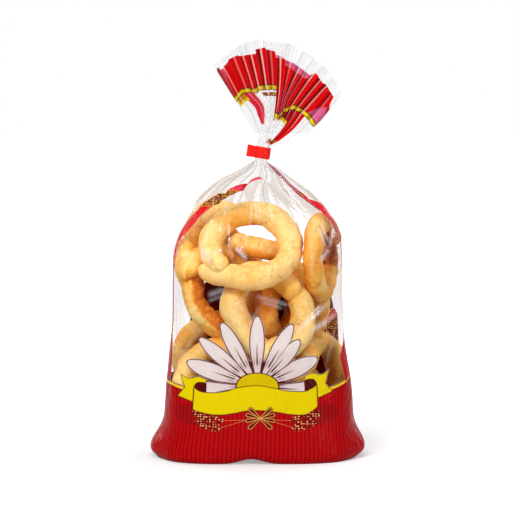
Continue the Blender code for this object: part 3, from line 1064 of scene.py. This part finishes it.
def crust_material():
    """Baked dough: pale gold, browner where the oven reached it, with pores and fine cracks.
    The side facing the hole is darker by painted shade, the underside by browning and painted shade.
    """
    made, tree, shader = new_material("baked dough")
    spot = tree.get("ShaderNodeTexCoord", "Object")
    bake_and_shade, tone, along = (tree.attribute(name) for name in ("bake_and_shade", "tone", "along"))
    clouds = tree.noise(spot, 42.0, 3.0, 0.55)
    patches = tree.noise(spot, 130.0, 4.0, 0.6)
    speckle = tree.noise(spot, 620.0, 3.0, 0.7)
    # The mark from the ring carries real browning and the painted shade of the hole side and underside.
    browned_and_shaded = tone * 0.66 + bake_and_shade * 0.62 + clouds * 1.5 + patches * 0.55 + speckle * 0.34 - 1.19
    colour = DOUGH_PALE
    for start, end, paint in DOUGH_SHADES:
        colour = tree.blend(tree.ramp(browned_and_shaded, start, end, smooth=True), colour, paint)

    # Pores and cracks, and fine wrinkles across the rope, all in patches.
    dots = {"Vector": spot, "Scale": 560.0, "Randomness": 1.0}
    pore = tree.ramp(tree.get("ShaderNodeTexVoronoi", "Distance", dots), 0.12, 0.30, 1.0, 0.0)
    pore = pore * tree.ramp(tree.noise(spot, 210.0, 2.0), 0.54, 0.62)
    wandering = tree.noise(spot, 70.0, 4.0, 0.6, distortion=0.8)
    crack = tree.ramp(abs(wandering - 0.5), 0.0, 0.010, 1.0, 0.0)
    crack = crack * tree.ramp(tree.noise(spot, 48.0, 1.0), 0.55, 0.62)
    _, y, z = tree.split(spot)
    wrinkle = tree.noise(tree.join(along * 0.62, y * 70.0, z * 70.0), 1.0, 2.0, 0.5)
    wrinkle = wrinkle * tree.ramp(tree.noise(spot, 30.0, 1.0), 0.44, 0.60)
    for share in (pore * 0.5, crack * 0.5, tree.ramp(wrinkle, 0.50, 0.75, 0.0, 0.30)):
        colour = tree.blend(share, colour, DOUGH_BROWN)
    fine = tree.noise(spot, 900.0, 4.0, 0.65)
    skin = tree.noise(spot, 260.0, 3.0, 0.6)
    relief = fine * 0.30 - wrinkle * 0.8 + skin * 0.8 - pore * 0.8 - crack
    bump = {"Strength": 0.8, "Distance": 0.0009, "Height": relief}
    tree.set(
        shader,
        {
            "Base Color": colour,
            "Roughness": tree.ramp(fine, 0.3, 0.7, 0.50, 0.66),
            "Normal": tree.get("ShaderNodeBump", 0, bump),
            "Specular IOR Level": 0.35,
            "Subsurface Weight": 0.12,
            "Subsurface Radius": (0.004, 0.002, 0.0008),
            "Subsurface Scale": 1.0,
        },
    )
    return made


def tape_material():
    """Red tape with a soft gloss and the fine ribs of its backing."""
    made, tree, shader = new_material("red tape")
    spot = tree.get("ShaderNodeTexCoord", "Object")
    wear = tree.noise(spot, 420.0, 3.0, 0.6)
    ribs = tree.noise(tree.vector("MULTIPLY", spot, (1.0, 1.0, 0.12)), 1500.0, 2.0)
    bump = {"Strength": 0.3, "Distance": 0.0002, "Height": ribs}
    tree.set(
        shader,
        {
            "Base Color": tree.blend(tree.ramp(wear, 0.35, 0.7), TAPE_RED, TAPE_WORN),
            "Roughness": tree.ramp(wear, 0.3, 0.7, 0.42, 0.58),
            "Normal": tree.get("ShaderNodeBump", 0, bump),
            "Specular IOR Level": 0.22,
        },
    )
    return made


def crinkle_group():
    """The small folds and scratches of clear film, as a height."""
    tree, (place, amount), leave = new_group(
        "film crinkle",
        "ShaderNodeTree",
        {"Place": None, "Amount": 1.0},
        {"Height": "NodeSocketFloat"},
    )
    stretched = tree.vector("MULTIPLY", place, (1.0, 0.45, 1.0))
    large = abs(tree.noise(stretched, 34.0, 3.0, 0.55, distortion=0.5) - 0.5)
    small = abs(tree.noise(stretched, 120.0, 3.0, 0.6, distortion=0.9) - 0.5)
    tree.feed(leave.inputs[0], (small * 0.35 + large) * amount)
    return tree.tree


# The print, and the film's material.


class Print:
    """The print on the flat film, in millimetres on its map.

    A mask is 1 where its part is printed and 0 elsewhere. Across is 0 at the middle of the
    front and rises to the right. Height is 0 where the base ends.
    """

    def __init__(self, tree, across, height):
        self.tree, self.across, self.height = tree, across, height
        self.to_right = self.inside(0.0, across)
        aside = tree.math("PINGPONG", across, 0.5 * GIRTH)
        self.front = self.inside(aside, 0.25 * GIRTH, 0.5)
        self.from_middle = tree.math("PINGPONG", aside, 0.25 * GIRTH)
        self.from_back = (0.5 * GIRTH - aside) * tree.math("SIGN", across)
        grid = tree.join(across * 0.50, height * 0.56)
        dots = {"Vector": grid, "Scale": 1.0, "Randomness": 0.4}
        seeds = tree.get("ShaderNodeTexVoronoi", "Distance", dots)
        self.seed = self.inside(seeds, 0.26, 0.07)
        self.seed_gap = self.inside(0.40, seeds, 0.06)

    def inside(self, value, limit, soft=0.25):
        """1 where the value is under the limit."""
        return self.tree.ramp(value, limit - soft, limit + soft, 1.0, 0.0)

    def between(self, value, low, high, soft=0.25):
        return self.inside(low, value, soft) * self.inside(value, high, soft)

    def distance(self, x, z):
        return self.tree.math("SQRT", x * x + z * z)

    def turned(self, x, z, angle):
        """A place in turned axes: how far along them, and how far off them."""
        cosine, sine = math.cos(angle), math.sin(angle)
        return x * cosine + z * sine, z * cosine - x * sine

    def seeds(self, mask):
        """Gold seeds with dark gaps between them."""
        return [(mask, SIDE_GOLD), (mask * self.seed_gap, MAROON)]

    def field(self):
        """The striped red field, the yellow line over it, and the panel on the back.

        The line sags to the middle of the front.
        """
        tree, height, between = self.tree, self.height, self.between
        sag = self.from_middle * self.from_middle * 0.0025 + 49.8
        self.line = tree.least(sag, self.to_right * 4.8 + 58.8)
        off_panel = abs(self.from_back - PANEL_X) / PANEL_HALF_WIDTH
        up_panel = tree.most(height - PANEL_SQUARE, 0.0) / (PANEL_TOP - PANEL_SQUARE)
        from_panel = off_panel**3.5 + up_panel**3.5
        panel = self.inside(from_panel, 1.0, 0.05) * (1.0 - self.front)
        rim = panel * self.inside(0.50, from_panel, 0.05) * between(height, 84.0, 114.0, 2.0)
        stripe = tree.math("PINGPONG", self.across, 0.5 * STRIPE_PITCH)
        stripes = tree.ramp(stripe, 0.30, 0.80, 1.0, 0.0) * self.inside(height, 160.0)
        red = tree.blend(stripes * 0.75, RED, STRIPE_RED)
        red = tree.blend(self.inside(FAN_MAP_START, height), red, FAN_RED)
        above = height - self.line
        edge = (1.0 - panel) * between(above, -1.8, 1.8)
        yellow = (1.0 - panel) * between(above, -1.0, 1.1)
        paints = [(rim * self.seed, SIDE_GOLD), (edge, MAROON), (yellow, LINE_YELLOW)]
        covers = [tree.most(self.inside(height, self.line), panel), edge]
        return red, paints, covers

    def strips(self):
        """The strip up each side, over the shoulders and through the neck into the ruffle.

        Low on the right, a wedge stands beside it, and a patch of print shows from a fold.
        """
        tree, height, from_middle = self.tree, self.height, self.from_middle
        inside, between, to_right = self.inside, self.between, self.to_right
        to_left = (1.0 - to_right) * inside(height, 225.0)
        place = tree.ramp(height, 165.0, 205.0, 72.0, 62.0, smooth=True)
        place = place + tree.ramp(height, 184.0, 204.0, 9.0, 0.0, smooth=True) * to_right
        inward = (tree.most(height - 183.0, 0.0) / 27.3) ** 1.65
        place = place - inward * 48.0 * to_left
        shoulder = height - to_right * 8.0 - 161.0
        width = tree.ramp(shoulder, 0.0, 17.0, 7.0, 13.2, smooth=True)
        for start, end, change in STRIP_WIDTHS:
            width = width + tree.ramp(height, start, end, 0.0, change, smooth=True)
        bulge = tree.ramp(height, 184.0, 200.0, 0.0, 3.0) - tree.ramp(height, 201.0, 211.0, 0.0, 7.4)
        width = width + bulge * to_left
        aside = abs(from_middle - place)
        strip = inside(aside, width) * inside(self.line, height) * self.front
        strip = strip * inside(height, BAND_LOW + 1.0)
        gap_top = aside * aside * 0.07 + 256.0
        strip = strip * (1.0 - (1.0 - to_right) * between(height, 213.0, gap_top, 0.6))

        right = self.front * to_right
        wedge = right * between(height, self.line, (from_middle - 62.0) * 1.2 + 79.5, 0.5)
        wedge = wedge * between(from_middle, (height - 57.0) * -0.10 + 64.2, 76.0)
        patch_low = (62.0 - from_middle) * 0.7 + 89.5
        patch_high = abs(from_middle - 57.5) ** 2.0 * -0.22 + 116.0
        patch = right * between(from_middle, 50.5, 62.5, 0.6)
        patch = patch * between(height, patch_low, patch_high, 0.8)
        patch_top = patch * inside(108.5, height, 2.5) * 0.45

        grain_low = to_right * 8.0 + 191.0
        grain = between(height, 92.0, 113.0, 0.6) + between(height, 242.0, 250.0, 0.6)
        grain = strip * (grain + between(height, grain_low, grain_low + 11.5, 0.6))
        fan_left = inside(self.across, 0.0) * between(height, FAN_MAP_START, BAND_LOW)
        over_shoulder = between(height, 203.0, 236.0, 1.0)
        right_shoulder = to_right * between(height, 158.0, 203.0, 6.0) * 0.30
        pink = strip * tree.most(fan_left, over_shoulder, right_shoulder)
        paints = [
            (strip * inside(100.0, height), FAN_RED),
            *self.seeds(grain),
            (wedge, RED),
            *self.seeds(patch),
            (patch * 0.45, MAROON),
            (tree.most(pink, patch_top), FOLD_PINK),
            (pink * inside(place, from_middle) * 0.5, RED),
        ]
        return paints, [strip, wedge, patch]

    def ruffle(self):
        """The ruffle's band with a yellow line at its foot, and what shows round it.

        Its reverse shows at the turned corner, a narrow roll at its left edge, and a deeper layer
        under its right half, painted darker red as painted shade.
        """
        tree, across, height, front = self.tree, self.across, self.height, self.front
        inside, between = self.inside, self.between
        band = between(height, BAND_LOW, FAN_MAP_START + FAN_BAND[1], 0.2)
        foot = between(height, BAND_LOW - 0.4, BAND_LOW + 2.0)
        foot_edge = between(height, BAND_LOW - 1.1, BAND_LOW + 2.8)
        corner = front * band * inside((height - BAND_LOW) * 0.70 + 69.5, across)
        corner = corner * inside(height, BAND_LOW + 18.0)
        roll = front * band * inside(across, -81.9)
        gap_side = (height - (BAND_LOW + 8.0)) * 0.27 - 82.4
        gap = front * inside(BAND_LOW + 8.0, height) * between(across, -82.5, gap_side)
        dots = front * between(height, BAND_LOW - 5.0, BAND_LOW - 2.4)
        dots = dots * between(across, -41.0, -5.0)
        # The deeper layer is painted a darker red, as painted shade.
        layer_low = across * -0.375 + 283.8
        layer = front * between(height, layer_low, BAND_LOW) * between(across, 21.0, 53.0)
        layer_foot = layer * inside(height, layer_low + 3.4)
        smudge = tree.noise(tree.join(across, height), 0.16, 2.0)
        knot = front * between(height, 237.4, 242.4, 0.6) * between(across, -26.0, 56.0)
        knot = knot * tree.ramp(smudge, 0.42, 0.54)
        curl = front * between(height, 274.8, BAND_LOW) * between(across, -85.5, -66.0)
        curl_line = curl * tree.most(inside(height, 276.6), inside(across, -82.6))
        paints = [
            *self.seeds(dots),
            (corner, REVERSE),
            (roll * 0.45, STRIPE_RED),
            (layer * 0.8, STRIPE_RED),
            (knot, SIDE_GOLD),
            (knot * tree.ramp(smudge, 0.54, 0.60), MAROON),
            (curl, SIDE_GOLD),
            (curl * 0.35, MAROON),
            (tree.most(layer_foot, curl_line), YELLOW),
            (foot_edge, MAROON),
            (foot, YELLOW),
        ]
        return paints, [band * (1.0 - gap), foot_edge, dots, layer, knot, curl]

    def flower(self):
        """Petals round a yellow middle. The two lowest lie flat along the banner."""
        tree, inside, between = self.tree, self.inside, self.between
        dx, dz = self.across - FLOWER_PLACE[0], self.height - FLOWER_PLACE[1]
        radius = self.distance(dx, dz)
        first, span = PETAL_TURNS
        last = float(len(PETALS) - 1)
        numbers = [number / last for number in range(len(PETALS))]
        turns = [(turn - first) / span for turn, _ in PETALS]
        lengths = [length / PETAL_SPAN for _, length in PETALS]
        turn = tree.math("ARCTAN2", dx, dz) * (-180.0 / math.pi) + (90.0 - first)
        angle = turn / span
        steps = [(0.0, 0.0), *zip(turns, numbers), (1.0, 1.0)]
        phase = tree.curve(angle, steps, straight=True) * last
        number = tree.math("ROUND", phase)
        place = number / last
        axis = tree.curve(place, list(zip(numbers, turns)), straight=True)
        length = tree.curve(place, list(zip(numbers, lengths)), straight=True) * PETAL_SPAN
        off_axis = (angle - axis) * math.radians(span)
        share = radius * tree.math("COSINE", off_axis) / length
        sideways = abs(radius * tree.math("SINE", off_axis))
        outer = inside(2.5, abs(number - 0.5 * last))
        half_width = tree.curve(share, PETAL_OUTLINE) * (outer * 0.9 + PETAL_HALF_WIDTH)
        to_next = (0.5 - abs(phase - number)) * radius
        to_next = to_next * tree.ramp(radius, 14.0, 21.0, 0.45, 0.97)
        above_low = dz - abs(dx) * LOW_PETAL_SLOPE
        edge = tree.least(half_width - sideways, (1.0 - share) * 34.0, to_next, above_low)
        edge = tree.most(edge, tree.least(-above_low, 37.0 - abs(dx)))
        upright = self.front * inside(-9.0, dz)
        petal = upright * inside(0.0, edge, 0.2)
        fill = upright * inside(PETAL_LINE, edge, 0.2)
        heart = upright * inside(radius, 19.0)
        groove = inside(abs(sideways - 0.15), (0.62 - share) * 1.5, 0.15)
        groove = groove * between(share, 0.30, 0.60, 0.03)
        fork = inside(abs(sideways - (share * 3.0 + 0.9)), 0.24, 0.12)
        groove = tree.most(groove, fork * between(share, 0.30, 0.39, 0.03))
        shadow = tree.ramp(radius, 16.0, 36.0, 0.34, 0.0) + tree.ramp(sideways, 0.0, 4.5, 0.0, 0.12)
        from_disc = self.distance(dx / DISC_HALF[0], dz / DISC_HALF[1])
        disc = self.front * inside(from_disc, 1.0, 0.02)
        paints = [
            (heart, MAROON),
            (petal, MAROON),
            (fill, tree.blend(shadow, PETAL, PETAL_SHADE)),
            (fill * groove, MAROON),
            (disc, MAROON),
            (self.front * inside(from_disc, 0.93, 0.02), DISC_YELLOW),
        ]
        return paints, [heart * inside(0.0, above_low), petal, disc]

    def banner(self):
        """A banner, wavy above and below. Its forked tails curl over behind its ends."""
        tree, height, front, inside = self.tree, self.height, self.front, self.inside
        across = self.across - BANNER_X
        out = abs(across)
        place = (across + BANNER_HALF_WIDTH) / (2.0 * BANNER_HALF_WIDTH)
        top = tree.curve(place, BANNER_TOP) * 9.0 + 53.0
        bottom = tree.curve(place, BANNER_BOTTOM) * 11.0 + 36.0
        edge = tree.least(BANNER_HALF_WIDTH - out, top - height, height - bottom)
        banner = front * inside(0.0, edge)

        level = height - across * 0.033
        tail_top = tree.curve((out - TAIL_FOOT) / 20.0, TAIL_TOP) * 6.0 + 63.0
        tail_bottom = (out - 42.3) * 0.364 + 48.0
        notch = level - 58.8
        tip = tree.most(notch * 0.40, notch * -0.76) + 48.6
        tail_edge = tree.least(tail_top - level, level - tail_bottom, tip - out, out - TAIL_FOOT)
        tail = front * inside(0.0, tail_edge)
        curl_top = abs(out - 37.0) ** 4.0 * -0.0065 + 63.0
        shade = tail * inside(out, 42.2) * inside(level, curl_top)
        paints = [
            (tail, MAROON),
            (front * inside(PRINT_LINE, tail_edge), YELLOW),
            (shade, MAROON),
            (banner, MAROON),
            (front * inside(PRINT_LINE, edge), YELLOW),
        ]
        return paints, [tail, banner]

    def sprigs(self):
        """Ears of grain with hatched beards, and their stems, to both sides of the bow."""
        tree, height, front, inside = self.tree, self.height, self.front, self.inside
        out = abs(self.across + 0.7)
        ears, stems = [], []
        for x, z, end_x, end_z in EARS:
            half = 0.5 * math.hypot(end_x - x, end_z - z)
            angle = math.atan2(end_z - z, end_x - x)
            run, rise = self.turned(out - x, height - z, angle)
            shape = abs((run - half) / (half + 1.0)) ** 2.6 + abs(rise / 3.5) ** 2.0
            ears.append(inside(shape, 1.0, 0.1))
        ears = tree.most(*ears) * front
        start_x, start_z = STEM_START
        for end_x, end_z in STEM_ENDS:
            slope = (end_z - start_z) / (end_x - start_x)
            off = abs(height - ((out - start_x) * slope + start_z))
            stems.append(inside(off, 0.20, 0.12) * self.between(out, start_x, end_x))
        stem = tree.most(*stems) * front
        beard_x, beard_z = (out - 43.0) / 13.5, (height - 37.5) / 8.0
        beard = inside(beard_x * beard_x + beard_z * beard_z, 1.0, 0.25)
        lines = inside(tree.math("PINGPONG", height - out * 0.30, 0.85), 0.42, 0.2)
        return [
            (front * beard * lines * 0.6, MAROON),
            (ears * 0.55, MAROON),
            (ears * self.seed, SEED_GOLD),
            (stem * 0.5, GOLD),
        ]

    def bow(self):
        """A small bow of ribbons on a dark ground."""
        tree, inside = self.tree, self.inside
        x, z = abs(self.across - BOW_PLACE[0]), self.height - BOW_PLACE[1]
        ribbons, grounds = [], []
        for turn, reach in BOW:
            run, rise = self.turned(x, z, math.radians(turn))
            off = self.distance(tree.most(run - (reach - 1.5), 0.0), rise)
            off = off - (tree.least(run, reach) * 0.11 + 0.35)
            ahead = inside(0.0, run)
            ribbons.append(inside(abs(off), 0.24, 0.12) * ahead)
            grounds.append(inside(off, 0.60, 0.2) * ahead)
        ground = tree.most(*grounds) * self.front
        return [(ground * 0.85, MAROON), (tree.most(*ribbons) * self.front, GOLD)]


def print_group():
    """The print on the flat film: its colour and where it covers the film."""
    tree, (across, height), leave = new_group(
        "bag print",
        "ShaderNodeTree",
        {"Across": 0.0, "Height": 0.0},
        {"Colour": "NodeSocketColor", "Cover": "NodeSocketFloat"},
    )
    drawn = Print(tree, across, height)
    colour, line_paints, covers = drawn.field()
    paints = drawn.sprigs() + line_paints
    for part in (drawn.strips, drawn.ruffle, drawn.flower, drawn.banner):
        part_paints, part_covers = part()
        paints += part_paints
        covers += part_covers
    for mask, paint in paints + drawn.bow():
        colour = tree.blend(mask, colour, paint)
    tree.set(leave, {"Colour": colour, "Cover": tree.most(*covers)})
    return tree.tree


def film_material():
    """Clear glossy film with the print on it. Seen from inside, the print is paler and pinker high up;
    lower down its reverse is painted dark red, as painted shade inside the bag.
    """
    made, tree, shader = new_material("printed film")
    made.use_backface_culling = False
    place = tree.get("ShaderNodeUVMap", uv_map="flat_film")
    u, v, _ = tree.split(place)
    across, height = u * MAP_SPAN - 0.5 * MAP_SPAN, v * MAP_SPAN
    sockets = {"Across": across, "Height": height}
    printed = tree.add("ShaderNodeGroup", sockets, node_tree=print_group())
    ink, cover = (Value(tree, printed.outputs[name]) for name in ("Colour", "Cover"))

    # Crinkles, the painted highlight of each fold, and its painted shade on one side.
    sockets = {"Place": place, "Amount": tree.ramp(height, 236.0, 250.0, 1.0, 0.35)}
    crinkle = tree.get("ShaderNodeGroup", 0, sockets, node_tree=crinkle_group())
    bump = {"Strength": 0.6, "Distance": 0.004, "Height": crinkle}
    bump = tree.get("ShaderNodeBump", 0, bump)
    streak, fold_place, fold_gleam = tree.split(tree.attribute("shine", "Vector"))
    past_fold = tree.math("FRACT", fold_place)
    near_fold = tree.least(past_fold, 1.0 - past_fold)
    gleam = tree.most(streak, tree.ramp(near_fold, 0.02, 0.065, 1.0, 0.0) * fold_gleam)
    fold_shade = tree.ramp(past_fold, 0.03, 0.55, 0.75, 0.0, smooth=True) * fold_gleam

    # The colour. Yellow and white print hides its reverse better than red does.
    behind = tree.get("ShaderNodeNewGeometry", "Backfacing")
    # Low down the reverse is painted dark red as painted shade inside the bag; high up it is pink.
    reverse = tree.blend(tree.ramp(height, 150.0, 235.0), SHADED_INSIDE_RED, REVERSE)
    green = tree.get("ShaderNodeSeparateColor", 1, {"Color": ink})
    hidden = behind * tree.ramp(green, 0.05, 0.2, 0.85, 0.25)
    seen = tree.blend(hidden, tree.blend(fold_shade, ink, FOLD_SHADE_RED), reverse)
    # Painted highlight: folds and creases are lightened towards a pale pink.
    seen = tree.blend(gleam * 0.7, seen, GLEAM)
    tree.set(
        shader,
        {
            "Base Color": tree.blend(cover, (0.96, 0.96, 0.97, 1.0), seen),
            "Metallic": 0.3 - cover * 0.3,
            "Roughness": cover * 0.10 + 0.14,
            "Specular IOR Level": 0.55 - cover * 0.50,
            "Normal": bump,
        },
    )

    # Where there is no print the film is clear, with a sheen at its edges and a painted sheen on its
    # folds.
    facing = tree.get("ShaderNodeLayerWeight", "Fresnel", {"Blend": 0.35, "Normal": bump})
    sheen = gleam * 0.62 + tree.ramp(facing, 0.05, 1.0, 0.0, 0.45)
    share = tree.math("MAXIMUM", cover, sheen, clamp=True)
    share = share * (1.0 - tree.get("ShaderNodeLightPath", "Is Shadow Ray") * 0.4)
    milky = tree.ramp(height, 160.0, 205.0, smooth=True)
    milky = milky - tree.ramp(height, 236.0, 262.0, 0.0, 0.6, smooth=True)
    tint = tree.blend(milky, (0.98, 0.98, 0.985, 1.0), (0.925, 0.92, 0.915, 1.0))
    clear = tree.get("ShaderNodeBsdfTransparent", 0, {"Color": tint})
    mixed = tree.get("ShaderNodeMixShader", 0, {0: share, 1: clear, 2: shader.outputs[0]})
    tree.set(made.node_tree.nodes["Material Output"], {"Surface": mixed})
    return made


# The tape round the neck.


def make_tape(finish):
    """A strip of tape that runs round the neck, with its two ends stuck together as a tab."""
    angles = np.linspace(math.radians(212.0), math.radians(-146.0), 40)
    path = [(-11.4, -2.2), (-9.6, -2.35), (-7.8, -2.6), (-6.6, -2.9)]
    path += [(6.05 * math.cos(a), 5.75 * math.sin(a)) for a in angles]
    path += [(-6.7, -3.35), (-8.0, -3.2), (-9.8, -3.0), (-11.7, -2.9)]
    count = len(path)
    heights = np.linspace(-TAPE_HALF_HEIGHT, TAPE_HALF_HEIGHT, 9)
    marks = np.arange(0, count + 3, 3)
    waves = np.random.default_rng(12).normal(0.0, 0.16, len(marks))
    ripple = np.interp(np.arange(count), marks, waves)
    lean = Matrix.Rotation(NECK_LEAN, 3, "Y")
    verts, faces = [], []
    for at, (x, y) in enumerate(path):
        slip = 0.35 * smooth_step(-x, 6.0, 9.0) if at > count // 2 else 0.0
        for height in heights:
            flare = ripple[at] * 0.4 * height / TAPE_HALF_HEIGHT
            turned = lean @ Vector((x, y + flare, height + 0.25 * ripple[at] + slip))
            verts.append((turned + Vector((NECK_X, 0.0, TIE_MIDDLE))) * MM)
    rows = len(heights)
    for low in range((count - 1) * rows):
        if low % rows < rows - 1:
            faces.append((low, low + 1, low + 1 + rows, low + rows))
    mesh = bpy.data.meshes.new("tape")
    mesh.from_pydata(verts, [], faces)
    mesh.materials.append(finish)
    mesh.shade_smooth()
    tape = new_object("tape", mesh)
    wall = tape.modifiers.new("thickness", "SOLIDIFY")
    wall.thickness = 0.32 * MM
    wall.offset = 0.0
    edge = tape.modifiers.new("edge", "BEVEL")
    edge.width = 0.08 * MM
    edge.segments = 2
    return tape


# The studio.


def make_floor():
    """A pale round floor, wide enough to reach the horizon."""
    mesh = bpy.data.meshes.new("floor")
    steps, radius = 64, 9.0
    turns = [TURN * step / steps for step in range(steps)]
    rim = [(radius * math.cos(turn), radius * math.sin(turn), 0.0) for turn in turns]
    faces = [(0, 1 + k, 1 + (k + 1) % steps) for k in range(steps)]
    mesh.from_pydata([(0.0, 0.0, 0.0), *rim], [], faces)
    made, tree, shader = new_material("pale floor")
    spot = tree.get("ShaderNodeTexCoord", "Object")
    away = tree.ramp(tree.vector("LENGTH", spot, output="Value"), 0.09, 0.45, 0.28, 1.0)
    greys = (0.60, 0.60, 0.60, 1.0), (0.64, 0.64, 0.64, 1.0)
    tree.set(
        shader,
        {
            "Base Color": tree.blend(tree.noise(spot, 9.0, 3.0), *greys),
            "Roughness": 0.9,
            "Specular IOR Level": 0.1,
            "Emission Color": (1.0, 1.0, 1.0, 1.0),
            "Emission Strength": tree.get("ShaderNodeLightPath", "Is Camera Ray") * away,
        },
    )
    mesh.materials.append(made)
    floor = new_object("floor", mesh)


def add_light(name, place, aim, size, power):
    """A soft rectangular light, its power in watts."""
    data = bpy.data.lights.new(name, "AREA")
    data.shape = "RECTANGLE"
    data.size, data.size_y = size
    data.energy = power
    light = new_object(name, data)
    light.location = place
    light.rotation_euler = (Vector(aim) - Vector(place)).to_track_quat("-Z", "Y").to_euler()


def make_studio():
    """The camera, the lights and the pale surroundings."""
    data = bpy.data.cameras.new("camera")
    data.sensor_width = 36.0
    data.lens = CAMERA_DISTANCE / (FRAME_PIXELS * MM_PER_PIXEL) * data.sensor_width
    data.clip_start = 0.05
    camera = new_object("camera", data)
    back = Vector((0.0, -math.cos(CAMERA_ELEVATION), math.sin(CAMERA_ELEVATION)))
    camera.location = (Vector(CAMERA_TARGET) + back * CAMERA_DISTANCE) * MM
    camera.rotation_euler = Euler((0.5 * math.pi - CAMERA_ELEVATION, 0.0, 0.0))
    scene = bpy.context.scene
    scene.camera = camera
    scene.view_settings.view_transform = "Standard"
    for name, place, size, power in LIGHTS:
        add_light(name, place, (0.0, 0.0, 0.14), size, power)
    world = bpy.data.worlds.new("studio")
    world.use_nodes = True
    tree = Tree(world.node_tree)
    shown = tree.get("ShaderNodeLightPath", "Is Camera Ray")
    grey = tree.blend(shown, (0.26, 0.26, 0.27, 1.0), (1.0, 1.0, 1.0, 1.0))
    tree.set(world.node_tree.nodes["Background"], {"Color": grey})
    scene.world = world
    make_floor()


# The whole scene.


def main():
    make_studio()
    rings = make_rings(crust_material())
    film = make_film(rings, film_material())
    tape = make_tape(tape_material())
    for ring in rings:
        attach(ring, BODY)
    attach(film, BODY)
    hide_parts("bag")
    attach(tape, BODY)
    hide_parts("tie")


if __name__ == "__main__":
    main()
